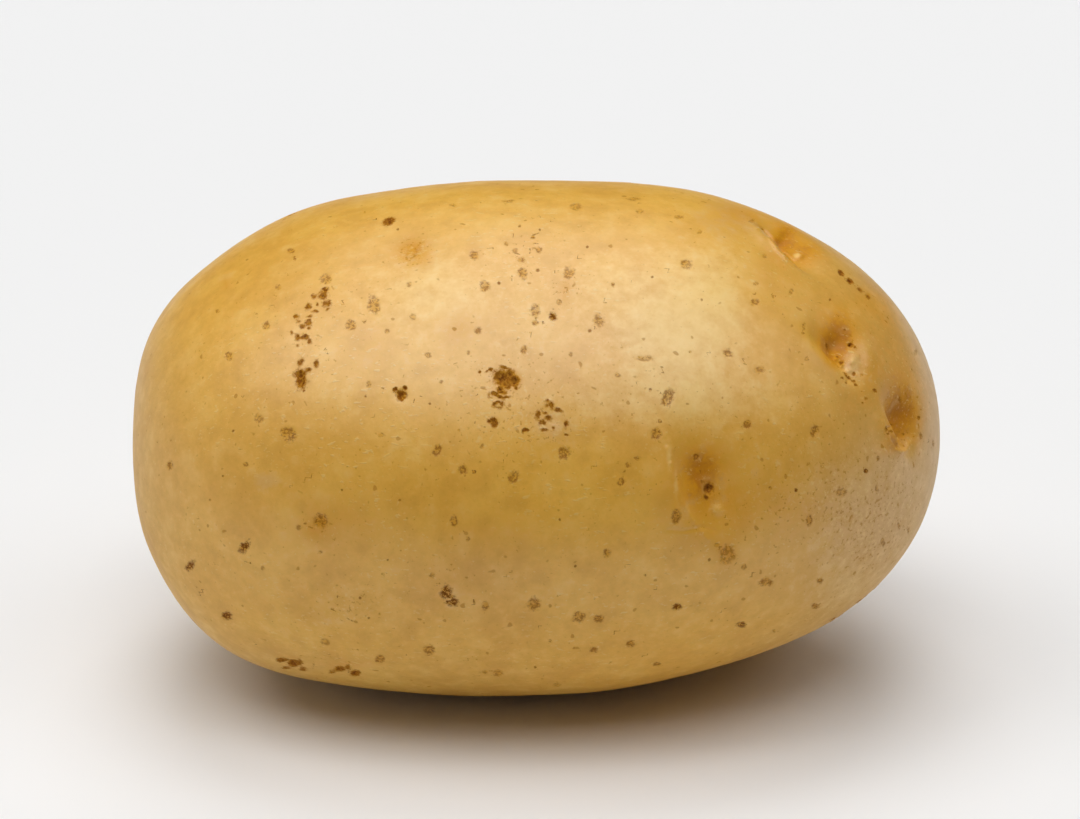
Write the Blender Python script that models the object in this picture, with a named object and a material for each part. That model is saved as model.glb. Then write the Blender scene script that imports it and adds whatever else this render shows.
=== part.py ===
"""One washed table potato, lying on a small flat spot of its underside.

Metres, +Z up. +X points to the bud end, where the eyes crowd together, and -X to the blunt stem end.
The side with the clearest eyes faces -Y. The origin is at the middle of the base.
The tuber grew as one piece, so it is one solid.
"""

import math

import bmesh
import bpy
from mathutils import Vector, noise

MM = 0.001

HALF_LENGTH = 49.7 * MM
HALF_WIDTH = 35.0 * MM
HALF_HEIGHT = 31.4 * MM

# How square each end is in outline: 2 is a plain ellipse, more is blunter.
STEM_TOP_BLUNTNESS = 2.25
STEM_LOW_BLUNTNESS = 3.1
BUD_TOP_BLUNTNESS = 2.3
BUD_LOW_BLUNTNESS = 2.0
NORMAL_BLUNTNESS = 2.3

CELLS_ALONG = 39
CELLS_ROUND = 26
# How far the cells crowd towards the bud end, where most of the eyes are: 0 is even.
BUDWARD_CROWDING = 0.12

# Slow unevenness of the flesh under the skin.
WAVE_LENGTH = 19.0 * MM
WAVE_HEIGHT = 0.35 * MM

# The flat spot that it lies on is this far above the lowest point of the round body.
REST_FLAT_DEPTH = 0.4 * MM

SKIN_COLOUR = (0.60, 0.36, 0.11, 1.0)
SKIN_ROUGHNESS = 0.45

# Broad swells and hollows. Places are in mm along the potato from its middle and in degrees round it,
# where 0 is the top, 90 faces the front and 180 is the underside. Reach and height are in mm.
SWELLS = (
    dict(along=-41, around=-28, reach=9, height=-0.7),
    dict(along=-26, around=-28, reach=8, height=0.4),
    dict(along=-36, around=152, reach=9, height=0.9),
    dict(along=-46, around=140, reach=6, height=-0.3),
    dict(along=19, around=152, reach=17, height=-1.1),
    dict(along=47, around=105, reach=8, height=-0.4),
    dict(along=39, around=46, reach=4, height=0.5),
    dict(along=-16, around=19, reach=7, height=-0.35),
    dict(along=-4, around=52, reach=6, height=-0.35),
    dict(along=-28, around=-120, reach=16, height=-0.7),
    dict(along=20, around=-95, reach=14, height=0.6),
)

# Eyes. Width is measured along the brow, the ridge on the stem side of each eye. Turn is in degrees
# away from a brow square to the potato's length. Sizes are in mm.
EYES = (
    dict(along=35.7, around=45, width=10, depth=2.9, brow=0.6, turn=55),
    dict(along=43.2, around=64, width=9, depth=2.6, brow=0.55, turn=40),
    dict(along=30.3, around=7, width=11, depth=2.2, brow=0.5, turn=35),
    dict(along=19.0, around=78, width=12, depth=1.1, brow=0.25, turn=24),
    dict(along=-30, around=163, width=8, depth=0.6, brow=0.3, turn=0),
    dict(along=28, around=-62, width=12, depth=1.9, brow=0.5, turn=-10),
    dict(along=40, around=-115, width=10, depth=2.0, brow=0.5, turn=15),
    dict(along=9, around=-128, width=13, depth=1.4, brow=0.45, turn=8),
    dict(along=-14, around=-72, width=12, depth=1.0, brow=0.4, turn=-8),
    dict(along=27, around=-172, width=11, depth=1.3, brow=0.4, turn=5),
)
EYE_LENGTH_SHARE = 0.34
STEEP_SIDE = 0.62
GENTLE_SIDE = 1.25
BROW_CREST_WIDTH = 1.5
BROW_BEND = 0.055
BUD_HEIGHT = 0.45
BUD_RADIUS = 1.7

# The dimple at the stem end, where the underground stem broke away.
STEM_SCAR = dict(tilt=20, around=-80, radius=4.5, depth=1.6, stub=0.7, stub_radius=1.6)


def clear_scene():
    for obj in list(bpy.data.objects):
        bpy.data.objects.remove(obj, do_unlink=True)


def heading(along_share, around):
    """Unit direction from the middle, for a share of the way to the bud end and degrees round."""
    side = math.sqrt(max(0.0, 1.0 - along_share**2))
    turn = math.radians(around)
    return Vector((along_share, -side * math.sin(turn), side * math.cos(turn)))


def bluntness(direction):
    """The outline's exponent, which slides from each end to the other and from top to underside."""
    stem = 0.5 - 0.5 * direction.x
    low = 0.5 - 0.5 * direction.z
    bud_end = BUD_TOP_BLUNTNESS + (BUD_LOW_BLUNTNESS - BUD_TOP_BLUNTNESS) * low
    stem_end = STEM_TOP_BLUNTNESS + (STEM_LOW_BLUNTNESS - STEM_TOP_BLUNTNESS) * low
    return bud_end + (stem_end - bud_end) * stem


def body_point(direction):
    """Where a line from the middle in this direction leaves the plain oval body."""
    power = bluntness(direction)
    across = math.hypot(direction.y / HALF_WIDTH, direction.z / HALF_HEIGHT)
    radius = (abs(direction.x / HALF_LENGTH) ** power + across**power) ** (-1.0 / power)
    return direction * radius


def body_normal(point):
    """Outward normal of the oval body near this point."""
    power = NORMAL_BLUNTNESS
    across = math.hypot(point.y / HALF_WIDTH, point.z / HALF_HEIGHT)
    pull = max(across, 1e-6) ** (power - 2.0)
    ends = math.copysign(abs(point.x / HALF_LENGTH) ** (power - 1.0) / HALF_LENGTH, point.x)
    sides = Vector((0.0, pull * point.y / HALF_WIDTH**2, pull * point.z / HALF_HEIGHT**2))
    return (sides + Vector((ends, 0.0, 0.0))).normalized()


def place_on_body(along, around):
    """The body point that lies this many mm along the potato and this many degrees round it."""
    low, high = -1.0, 1.0
    for _ in range(40):
        middle = 0.5 * (low + high)
        if body_point(heading(middle, around)).x < along * MM:
            low = middle
        else:
            high = middle
    return body_point(heading(0.5 * (low + high), around))


def bell(distance, reach):
    return math.exp(-((distance / reach) ** 2))


def swell_height(point, swell, centre):
    return swell["height"] * MM * bell((point - centre).length, swell["reach"] * MM)


def wave_height(point):
    return WAVE_HEIGHT * noise.noise(point / WAVE_LENGTH)


class Eye:
    """One eye: a pit that is steep under its brow and runs out gently towards the bud end."""

    def __init__(self, along, around, width, depth, brow, turn):
        self.centre = place_on_body(along, around)
        self.normal = body_normal(self.centre)
        budward = Vector((1.0, 0.0, 0.0))
        budward = (budward - self.normal * budward.dot(self.normal)).normalized()
        side = self.normal.cross(budward)
        lean = math.radians(turn)
        self.forward = budward * math.cos(lean) + side * math.sin(lean)
        self.sideways = self.normal.cross(self.forward)
        self.half_width = 0.5 * width * MM
        self.half_length = EYE_LENGTH_SHARE * width * MM
        self.depth = depth * MM
        self.brow = brow * MM

    def height(self, point):
        """How far the eye lifts the skin here, negative in the pit."""
        offset = point - self.centre
        if offset.length > 3.0 * self.half_width or offset.dot(self.normal) < -2.0 * self.half_width:
            return 0.0
        forward = offset.dot(self.forward)
        sideways = offset.dot(self.sideways)
        reach = self.half_length * (STEEP_SIDE if forward < 0.0 else GENTLE_SIDE)
        pit = -self.depth * bell(forward, reach) * bell(sideways, self.half_width)
        crest = -0.95 * self.half_length + BROW_BEND / MM * sideways**2
        brow = self.brow * bell(forward - crest, BROW_CREST_WIDTH * MM) * bell(sideways, 1.1 * self.half_width)
        bud = min(BUD_HEIGHT * MM, 0.3 * self.depth) * bell(math.hypot(forward, sideways), BUD_RADIUS * MM)
        return pit + brow + bud


def stem_scar_height(point):
    """The stem end's dimple, with the broken stub in its middle."""
    tilt = math.radians(STEM_SCAR["tilt"])
    turn = math.radians(STEM_SCAR["around"])
    direction = Vector((-math.cos(tilt), -math.sin(tilt) * math.sin(turn), math.sin(tilt) * math.cos(turn)))
    distance = (point - body_point(direction)).length
    dimple = -STEM_SCAR["depth"] * MM * bell(distance, STEM_SCAR["radius"] * MM)
    stub = STEM_SCAR["stub"] * MM * bell(distance, STEM_SCAR["stub_radius"] * MM)
    return dimple + stub


def skin_point(direction, swells, eyes):
    """A point of the finished skin: the oval body, its swells, its slow unevenness and its eyes."""
    point = body_point(direction)
    height = wave_height(point) + stem_scar_height(point)
    height += sum(swell_height(point, swell, centre) for swell, centre in swells)
    height += sum(eye.height(point) for eye in eyes)
    return point + body_normal(point) * height


def gridded_cube():
    """A cube of 2 units with more cells along X than round it, for even spacing on the long body."""
    grid = bmesh.new()
    bmesh.ops.create_cube(grid, size=2.0)
    lengthwise = [e for e in grid.edges if abs(e.verts[0].co.x - e.verts[1].co.x) > 1.0]
    bmesh.ops.subdivide_edges(grid, edges=lengthwise, cuts=CELLS_ALONG - 1)
    crosswise = [e for e in grid.edges if abs(e.verts[0].co.x - e.verts[1].co.x) < 1e-6]
    bmesh.ops.subdivide_edges(grid, edges=crosswise, cuts=CELLS_ROUND - 1, use_grid_fill=True)
    return grid


def round_direction(corner):
    """The direction of a cube point, with its grid spread evenly in angle and crowded at the bud end."""
    eighth = math.pi / 4.0
    lengthwise = corner.x + BUDWARD_CROWDING * (1.0 - corner.x**2)
    return Vector([math.tan(value * eighth) for value in (lengthwise, corner.y, corner.z)]).normalized()


def flatten_underside(grid):
    """Presses the lowest skin up to one level, which is the flat spot that the potato lies on."""
    level = min(v.co.z for v in grid.verts) + REST_FLAT_DEPTH
    for vert in grid.verts:
        vert.co.z = max(vert.co.z, level)


def centre_on_base(grid):
    """Moves the potato so that the middle of its base box is at the origin."""
    for axis in (0, 1):
        values = [v.co[axis] for v in grid.verts]
        middle = 0.5 * (min(values) + max(values))
        for vert in grid.verts:
            vert.co[axis] -= middle
    level = min(v.co.z for v in grid.verts)
    for vert in grid.verts:
        vert.co.z -= level


def skin_material():
    material = bpy.data.materials.new("potato_skin")
    material.use_nodes = True
    shader = material.node_tree.nodes["Principled BSDF"]
    shader.inputs["Base Color"].default_value = SKIN_COLOUR
    shader.inputs["Roughness"].default_value = SKIN_ROUGHNESS
    shader.inputs["Metallic"].default_value = 0.0
    return material


def make_potato(collection):
    swells = [(swell, place_on_body(swell["along"], swell["around"])) for swell in SWELLS]
    eyes = [Eye(**eye) for eye in EYES]
    grid = gridded_cube()
    for vert in grid.verts:
        vert.co = skin_point(round_direction(vert.co), swells, eyes)
    flatten_underside(grid)
    centre_on_base(grid)
    bmesh.ops.recalc_face_normals(grid, faces=grid.faces)
    mesh = bpy.data.meshes.new("potato")
    grid.to_mesh(mesh)
    grid.free()
    mesh.shade_smooth()
    mesh.materials.append(skin_material())
    potato = bpy.data.objects.new("potato", mesh)
    collection.objects.link(potato)
    return potato


def main():
    clear_scene()
    collection = bpy.data.collections.new("potato")
    bpy.context.scene.collection.children.link(collection)
    make_potato(collection)


main()
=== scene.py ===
import math

import bpy
import numpy as np
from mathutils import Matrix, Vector, noise
from mathutils.bvhtree import BVHTree


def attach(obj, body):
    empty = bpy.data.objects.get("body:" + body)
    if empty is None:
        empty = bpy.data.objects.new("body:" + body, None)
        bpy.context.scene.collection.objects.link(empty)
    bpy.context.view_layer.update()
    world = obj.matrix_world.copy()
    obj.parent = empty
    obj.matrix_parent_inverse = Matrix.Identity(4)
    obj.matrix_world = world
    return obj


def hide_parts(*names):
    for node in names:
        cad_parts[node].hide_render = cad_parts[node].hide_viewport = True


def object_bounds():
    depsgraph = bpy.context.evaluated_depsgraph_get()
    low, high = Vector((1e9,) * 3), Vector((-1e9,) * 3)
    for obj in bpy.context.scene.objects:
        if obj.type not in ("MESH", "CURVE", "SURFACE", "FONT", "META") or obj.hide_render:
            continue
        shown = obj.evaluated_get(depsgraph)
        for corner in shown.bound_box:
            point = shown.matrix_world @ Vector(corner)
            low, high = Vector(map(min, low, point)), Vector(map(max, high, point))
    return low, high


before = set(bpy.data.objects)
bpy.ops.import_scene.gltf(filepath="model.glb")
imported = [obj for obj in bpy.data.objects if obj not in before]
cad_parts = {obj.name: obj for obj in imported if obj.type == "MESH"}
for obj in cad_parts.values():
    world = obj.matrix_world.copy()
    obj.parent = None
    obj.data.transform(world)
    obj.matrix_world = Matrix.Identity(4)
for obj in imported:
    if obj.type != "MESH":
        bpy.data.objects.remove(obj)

# One washed table potato on a plain pale ground. The skin is one closed mesh that stands for the packed
# solid: the same tuber, worked over at a finer scale. Metres, +Z up, bud end at +X, clearest eyes at -Y.

cad_low, cad_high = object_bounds()

MM = 0.001

# The camera of the photograph, and how its pixels are counted: from the upper left of 1080 by 819.
PICTURE_WIDTH, PICTURE_HEIGHT = 1080, 819
SENSOR = 36.0
LENS = 120.0
CAMERA_RISE = 22.0
METRES_PER_PIXEL = 0.100 / 808
CAMERA_DISTANCE = METRES_PER_PIXEL * PICTURE_WIDTH / SENSOR * LENS
AIM_RIGHT = 0.3 * MM
AIM_ABOVE_MIDDLE = 3.0 * MM

# The light: a broad bank of softboxes overhead, in a dark room with a pale wall on the left, over a pale
# sheet. For each softbox: its strength, and its tilts towards the camera and to the right, in degrees.
SOFTBOXES = (
    (0.74, -25, 0),
    (0.43, 0, 0),
    (0.92, 25, 0),
    (0.47, 14, 32),
    (0.73, 8, -32),
)
SOFTBOX_SPREAD = 36
ROOM_LIGHT = 0.028
WALL_LIGHT = 0.31
BACKDROP_LIGHT = 0.888
WHITE = (1.0, 1.0, 1.0, 1.0)
SHEET = (0.885, 0.885, 0.885, 1.0)
FLOOR_WIDTH = 12.0
FLOOR_FRONT = 0.11

# The oval body of the tuber.
HALF_LENGTH, HALF_WIDTH, HALF_HEIGHT = 49.7 * MM, 35.0 * MM, 31.4 * MM
STEM_TOP_BLUNTNESS, STEM_LOW_BLUNTNESS = 2.25, 3.1
BUD_TOP_BLUNTNESS, BUD_LOW_BLUNTNESS = 2.3, 2.0
NORMAL_BLUNTNESS = 2.3
WAVE_LENGTH, WAVE_HEIGHT = 19.0 * MM, 0.35 * MM
REST_FLAT_DEPTH = 0.4 * MM

# Cells of the skin's first grid, along and round, and how far they crowd towards the bud end.
CELLS_ALONG, CELLS_ROUND = 62, 43
BUDWARD_CROWDING = 0.08

# Broad swells and hollows: mm along from the middle, degrees round from the top to the front, reach and
# height in mm.
SWELLS = (
    (-41, -28, 9, -0.7),
    (-26, -28, 8, 0.4),
    (-36, 152, 9, 0.9),
    (-46, 140, 6, -0.3),
    (19, 152, 17, -1.1),
    (47, 105, 8, -0.4),
    (39, 46, 4, 0.5),
    (-16, 19, 7, -0.35),
    (-4, 52, 6, -0.35),
    (-28, -120, 16, -0.7),
    (20, -95, 14, 0.6),
)

# Eyes: mm along, degrees round, width along the brow, depth, height of the brow, and the turn of the brow
# in degrees. The first four show in the photograph, and the first three are deep, most of all within this
# distance of their middles.
EYES = (
    (35.2, 44.5, 7.4, 1.5, 0.15, 52),
    (43.2, 64, 7, 2.0, 0.4, 42),
    (30.3, 7, 9, 1.9, 0.4, 35),
    (19.0, 78, 12, 1.1, 0.25, 24),
    (-30, 163, 8, 0.6, 0.3, 0),
    (28, -62, 12, 1.9, 0.5, -10),
    (40, -115, 10, 2.0, 0.5, 15),
    (9, -128, 13, 1.4, 0.45, 8),
    (-14, -72, 12, 1.0, 0.4, -8),
    (27, -172, 11, 1.3, 0.4, 5),
)
EYES_IN_VIEW, DEEP_EYES = 4, 3
EYE_HEART = 2.6 * MM
EYE_LENGTH_SHARE = 0.34
STEEP_SIDE, GENTLE_SIDE = 0.62, 1.25
BROW_CREST_WIDTH, BROW_BEND = 1.5, 0.055
BUD_HEIGHT, BUD_RADIUS = 0.45, 1.7

# The dimple at the stem end, where the underground stem broke away: degrees and mm.
SCAR_TILT, SCAR_AROUND, SCAR_RADIUS, SCAR_DEPTH = 20, -80, 4.5, 1.6
STUB_HEIGHT, STUB_RADIUS = 0.7, 1.6

# What follows is read off the photograph, as pixels.
POTATO_MIDDLE_X, POTATO_MIDDLE_Y = 538, 438

# For each spot: its middle, width and height, and its lean in degrees if it leans, which turns its width
# from level towards the upper right.
# Corky spots with a pale rim.
RINGED_SPOTS = (
    (474, 255, 11, 11), (484, 286, 12, 13), (374, 305, 13, 22, 10), (351, 325, 11, 13),
    (326, 279, 13, 11, 20), (266, 326, 9, 10), (291, 251, 8, 6), (229, 356, 9, 10), (289, 434, 16, 17),
    (437, 451, 9, 13, -25), (478, 331, 9, 8), (170, 465, 7, 11), (522.6, 273.6, 11, 13),
    (535, 310.5, 11, 14), (535, 323.5, 7, 7), (599, 320.6, 13, 14), (686, 264, 13, 11),
    (727.5, 353.5, 11, 10), (656, 434.5, 11, 14), (620.6, 482, 9, 9), (696, 457, 7, 7), (747, 425, 10, 8),
    (607, 553.5, 9, 10), (485, 606, 9, 10), (534, 604, 14, 15), (579, 617, 14, 12), (599, 619, 11, 9),
    (593.5, 650, 9, 7), (631, 644, 11, 8), (657, 664.5, 9, 5), (429, 650, 13, 11, 20), (321, 520.5, 16, 16),
    (380, 659, 11, 9), (809, 520.4, 8, 12), (766, 582, 17, 9), (815, 606, 9, 6), (820, 580.6, 7, 7),
    (755, 302, 9, 8), (814.5, 431, 9, 12), (668, 398, 12, 22, -20), (513, 478, 11, 17, -35),
    (463, 470.5, 10, 11), (454, 521, 9, 12), (676, 517, 10, 16, -10), (569, 272.5, 12, 13),
    (564, 453, 13, 14), (524, 349.5, 7, 9), (539, 250, 7, 7), (521.5, 259.5, 8, 6),
)
# Dark, worn spots.
DARK_SPOTS = (
    (389, 221, 13, 8, 25), (401, 395, 12, 13), (244, 547, 9, 17, -35), (190, 566, 8, 13, -35),
    (227, 616, 11, 9, -20), (446, 592, 12, 17, -10), (453.6, 602, 12, 10, 20), (677, 606.5, 11, 8, 10),
    (741, 625, 12, 7), (553, 316, 9, 10), (709, 488.5, 9, 11), (706, 497, 5, 4), (841, 273, 8, 5, -40),
    (850, 281, 8, 5, -35), (301, 379, 10, 18, -5), (395, 389.5, 5, 5), (405, 387.5, 5, 4),
    (494, 422, 11, 10, -20), (526, 430, 8, 5), (325, 289, 9, 6, 10), (340, 669, 11, 6), (356, 673, 9, 6),
    (281, 660, 10, 5), (293, 664, 12, 7), (865.5, 471, 5, 5), (474, 472, 5, 4), (796, 490, 4, 4),
)
# Faint brown spots.
FAINT_SPOTS = (
    (409, 284.5, 7, 7), (413, 317, 8, 8), (387, 331, 6, 6), (278, 287, 7, 7), (217, 311, 5, 4),
    (381, 435, 7, 6), (369, 384, 6, 8), (428, 355, 7, 6), (246, 464, 7, 6), (259, 418, 10, 10),
    (482, 447, 5, 6), (468, 539, 5, 5), (453, 205, 9, 4), (509, 201, 13, 4), (576, 207, 14, 8),
    (634, 199, 13, 4), (640, 211, 8, 5), (679, 217, 11, 5), (699.5, 232, 6, 5), (752, 221, 7, 5),
    (515, 250, 7, 5), (506, 244, 5, 5), (559, 302, 6, 6), (571, 354.5, 5, 5), (468, 353, 5, 5),
    (441, 382, 5, 5), (756, 283.5, 6, 5), (645, 358.6, 22, 7), (618, 375.5, 7, 5), (637, 458.5, 8, 5),
    (628, 465, 7, 6), (485, 672, 6, 5), (498.5, 673, 12, 7), (557, 685, 9, 5), (299, 527, 8, 6),
    (339, 669, 11, 7), (325, 642, 12, 8), (320, 552, 5, 4), (263, 568, 5, 5), (432, 575.5, 6, 6),
    (791, 292, 5, 7, -30), (764, 256, 6, 5), (804, 326, 4, 8), (807, 359, 5, 5), (759, 370, 12, 8),
    (841, 492, 12, 10), (883, 543, 5, 12, 10), (899, 526, 3, 8), (908, 530, 3, 8), (878, 458, 4, 7),
    (877, 489, 5, 8), (915.5, 352, 4, 8), (933, 444, 3, 8), (921, 436, 4, 7), (900, 399, 4, 6),
    (868, 296, 7, 5, -35), (860, 289, 6, 4, -35), (744, 567, 6, 7), (717, 545, 6, 5), (550, 641, 5, 4),
    (727, 555, 17, 22, -20),
)
# How dark each kind of spot is, and how clear the ring of a large one, whose width and height add up to
# this many pixels. Above this row of the picture all spots but the dark ones are painted fainter, as
# painted highlight washing over them.
SPOT_KINDS = ((RINGED_SPOTS, 0.66, 1.0), (DARK_SPOTS, 1.0, 0.3), (FAINT_SPOTS, 0.34, 0.5))
LARGE_SPOT = 22.0
WASHED_OUT_ABOVE, WASHED_OUT_SHARE = 365, 0.80

# Specks, as places and widths, and how dark they are.
SPECK_DARKNESS = 0.6
SPECKS = (
    (398, 229, 3), (365, 212, 3), (295, 259, 3), (365, 397, 3), (520, 226, 4), (533, 237, 5),
    (540, 230, 3), (538, 270, 4), (499, 283, 4), (590, 331, 4), (613, 284, 4), (652, 277, 3),
    (650, 390, 4), (709.5, 560, 4), (535, 667, 3), (338, 597, 3), (347, 601, 4), (332, 609, 4),
    (353, 605, 3), (369, 618, 3), (380, 614, 3), (342, 490, 3), (223, 476, 3), (918.6, 418, 4),
    (904, 434, 3), (770, 488, 4), (774, 631, 4), (480, 372, 4), (490.5, 369, 5), (803, 333, 4),
    (233, 431, 3), (352, 620, 3), (341, 612, 3), (360, 598, 3), (430, 404, 3), (587, 247, 3),
    (459, 430, 3), (690, 352, 3), (830, 300, 3), (845, 330, 3), (702, 300, 3), (560, 520, 3),
    (575, 566, 3), (645, 575, 3), (388, 560, 3), (400, 500, 3), (360, 450, 3), (210, 500, 3),
)
# Scabs that sit close together, each a dark scrap of skin: as a spot, and then its darkness.
SCABS = (
    (323.5, 295.4, 8.5, 6.5, 15, 1.0), (314, 296, 5, 4, 0.9), (327, 303.5, 8, 6, 10, 0.7),
    (328, 309, 5, 2.5, 45, 0.5), (308, 307, 6.5, 5.5, 20, 0.9), (317, 304, 3, 4, 0.4),
    (315.6, 311.6, 6, 3, 0.6), (296.6, 316.5, 5.5, 3.5, 0.8), (310, 316.5, 6, 2.5, 10, 0.4),
    (298, 321.5, 4.5, 3.5, 0.6), (308.5, 322.5, 6.5, 6, 20, 0.95), (302.5, 326.3, 6, 4.5, 0.8),
    (309, 328, 3, 4, 0.5), (291.6, 332.5, 3, 4, 0.6), (297, 337, 5, 5.5, 0.95), (301, 338, 5, 2.5, 0.7),
    (305.2, 337, 6.5, 5, 0.95), (310, 341.3, 5, 4, 0.6), (297.5, 345.6, 3.5, 3, 0.6),
    (301, 361.6, 4.5, 8, -35, 0.65), (316, 363.8, 4.5, 8, 0.5), (307.8, 370, 5, 4, 0.95),
    (299.8, 373.8, 10, 8.5, 1.0), (302, 382.5, 9.5, 12, 0.45), (303.8, 390.6, 3.5, 2.5, 0.6),
    (505, 367.5, 12, 2.6, -15, 0.6), (502.5, 377.5, 17, 12, -15, 1.05), (506, 383, 9, 6, 1.0),
    (509.4, 374, 8, 8, 0.95), (514, 381, 9, 9, 1.25), (500, 388.8, 6, 4, 0.95),
    (507.5, 388, 6.5, 2.6, 15, 0.8), (516, 388.2, 3.5, 2.5, 0.8), (502.5, 392.5, 8, 3, -10, 0.8),
    (495, 394, 7, 4, -20, 0.95), (488.8, 395, 2.8, 5, 0.8), (499.4, 396.9, 9, 3, -20, 0.9),
    (506, 397.7, 8, 2.2, 15, 0.7), (494.4, 404.4, 5, 4, 0.8), (499, 407.5, 7, 2.6, 0.7),
    (502, 404, 3, 5, 0.6), (498, 402, 8, 2, 0.5), (494, 420.6, 4.5, 4.5, 0.9),
    (494.4, 426, 5.5, 3.4, 10, 1.0), (488.8, 421, 3, 4.5, 30, 0.7), (479.8, 371, 3.5, 3, 0.8),
    (491, 369.4, 4.5, 2.5, 20, 0.8), (487, 371, 5, 1.8, 20, 0.4), (526.6, 430, 4.5, 3.8, 1.1),
    (522.8, 431.5, 2.5, 3.5, 0.7), (551.4, 405.6, 4, 7, -15, 0.75), (547, 405, 4, 3, 0.5),
    (558.8, 410, 7, 3.6, -20, 0.65), (538, 415, 4.5, 8, -10, 0.5), (548, 417.5, 7, 4.6, 0.75),
    (542.8, 422.5, 5, 5, 0.9), (566.3, 424.4, 4.6, 7.5, -20, 0.85), (545.6, 412.5, 4, 2.5, 0.6),
    (553.8, 428, 2.5, 4, -20, 0.5), (544.4, 430, 7, 3, 0.4), (547.5, 400.6, 7, 2.5, 0.4),
    (566.5, 435, 3.5, 2.2, 0.7), (850.6, 345, 4.5, 3.5, 1.1), (854, 347, 3, 2.5, 0.6),
    (841, 363, 4, 5, -40, 0.3), (838, 357, 3.5, 2.5, 0.3), (845, 374, 5, 3, -40, 0.45),
    (849, 378, 5, 3, -30, 0.55), (853.5, 374.5, 3, 4, 0.7), (853, 381, 6, 3, -30, 0.55),
    (842, 378, 3, 2.5, 0.6), (856, 385, 4, 2.5, -40, 0.5), (846, 382.5, 3.5, 2, -30, 0.5),
    (828, 346, 3, 8, 15, 0.4), (286, 668, 7, 3, 0.8), (299, 663, 6, 5, 0.8), (303, 669, 7, 4, 0.6),
    (348, 667, 5, 4, 0.7), (282, 661, 9, 4, 0.8), (293, 664, 10, 5, 0.9), (340, 669, 9, 4, 0.7),
    (355, 673, 8, 5, 0.9), (332, 672, 6, 3, 0.5), (888, 433.7, 3, 2.2, 0.5), (875, 390.6, 4, 2.6, -40, 0.8),
    (866, 398.7, 3, 3, 0.5), (862, 403, 3.5, 2.2, 0.3), (886, 429, 3, 4.5, 10, 0.5),
    (892, 424.5, 4.5, 2.2, 20, 0.45), (891, 431, 4.5, 2, -20, 0.4), (709, 488.5, 8, 9, 0.85),
    (706, 497, 5, 4, 0.6), (703, 482, 3, 3, 0.5), (841, 273, 7, 3.5, -45, 0.9),
    (850, 281, 7, 3.5, -40, 0.95), (860, 290, 7, 2.5, -40, 0.4), (868, 297, 4, 3, -40, 0.6),
    (401.5, 396, 8, 8, 0.6), (396, 389.5, 4.5, 4, 0.7), (405, 388, 4, 4, 0.9),
    (389, 221.5, 11, 6, 25, 0.95),
)
# Warm stains, from ochre to orange-brown, and broad patches of painted shade where the skin turns from
# the light, low on the front and at the bud end: the middle, width, height and strength of each.
STAINS_AND_SHADE = (
    (412, 252, 36, 30, 0.8), (460, 328, 46, 34, 0.45), (566, 291, 16, 34, 0.5), (225, 284, 12, 18, 0.5),
    (312, 531, 36, 26, 0.45), (450, 575, 90, 50, 0.25), (702, 477, 46, 64, 1.05), (312, 305, 44, 44, 0.25),
    (783, 241, 24, 26, 1.1), (831, 348, 20, 27, 1.3), (840, 340, 22, 26, 1.0), (836, 333, 34, 44, 0.65),
    (836, 361, 18, 14, 0.6), (899, 419, 34, 60, 0.95), (893, 415, 20, 38, 0.8), (504, 379, 24, 18, 0.75),
    (870, 365, 26, 44, 0.28), (748, 215, 70, 30, 0.6), (806, 250, 36, 30, 0.8), (760, 510, 170, 60, 0.38),
    (885, 310, 40, 60, 0.4), (366, 350, 44, 54, 0.3), (350, 520, 90, 50, 0.32), (865, 300, 40, 24, 0.35),
    (501, 395, 18, 14, 0.5), (494, 422, 12, 12, 0.5), (727, 553, 26, 30, 0.45), (898, 443, 17, 16, 0.7),
    (690, 540, 60, 40, 0.25), (515, 379, 16, 16, 0.7), (530, 240, 44, 30, 0.3),
    (505, 530, 60, 34, 0.25), (870, 395, 60, 60, 0.4), (250, 600, 60, 40, 0.15), (346, 664, 60, 14, 0.4),
    (783, 272, 60, 54, 0.35), (906, 368, 60, 110, 0.45), (835, 318, 60, 40, 0.3),
)
# Pale patches, with their strength. The small ones are pale skin on buds, scar lumps and a seam, partly
# painted highlight where they catch the light; the broad ones are painted highlight.
PALE_AND_HIGHLIGHT_PATCHES = (
    (868, 362, 18, 44, 0.3), (853, 364, 10, 19, 0.6), (717, 510, 18, 16, 0.55), (667, 380, 40, 30, 0.25),
    (505, 349, 22, 16, 0.3), (655, 449, 12, 9, 0.4), (530, 455, 60, 26, 0.15), (797, 256, 8, 6, 0.9),
    (747, 432, 18, 8, 0.3), (680, 320, 140, 140, 0.6), (715, 300, 60, 120, 0.5), (430, 290, 130, 80, 0.6),
    (610, 285, 160, 70, 0.3), (715, 402, 170, 50, 0.5), (330, 400, 120, 60, 0.35),
    (400, 450, 170, 44, 0.3), (665, 340, 70, 60, 0.5), (590, 402, 90, 40, 0.4),
    (850, 585, 130, 80, 0.45), (669, 460, 5, 28, 0.6), (676, 486, 5, 30, 0.6), (688, 513, 7, 22, 0.45),
)
# Pinkish-grey worn patches, with their strength.
WORN_PATCHES = (
    (550, 425, 44, 40, 0.6), (266, 482, 40, 18, 0.6), (505, 395, 36, 50, 0.25), (852, 363, 13, 23, 1.3),
    (868, 346, 18, 34, 0.6), (870, 530, 100, 110, 0.8), (905, 470, 50, 90, 0.5), (300, 440, 40, 30, 0.2),
    (645, 359, 30, 12, 0.3), (545, 600, 30, 24, 0.2), (760, 470, 60, 60, 0.15), (330, 612, 70, 40, 0.35),
    (452, 597, 34, 34, 0.35), (530, 455, 70, 30, 0.2), (835, 590, 100, 60, 0.4), (740, 222, 100, 56, 0.5),
)
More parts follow.
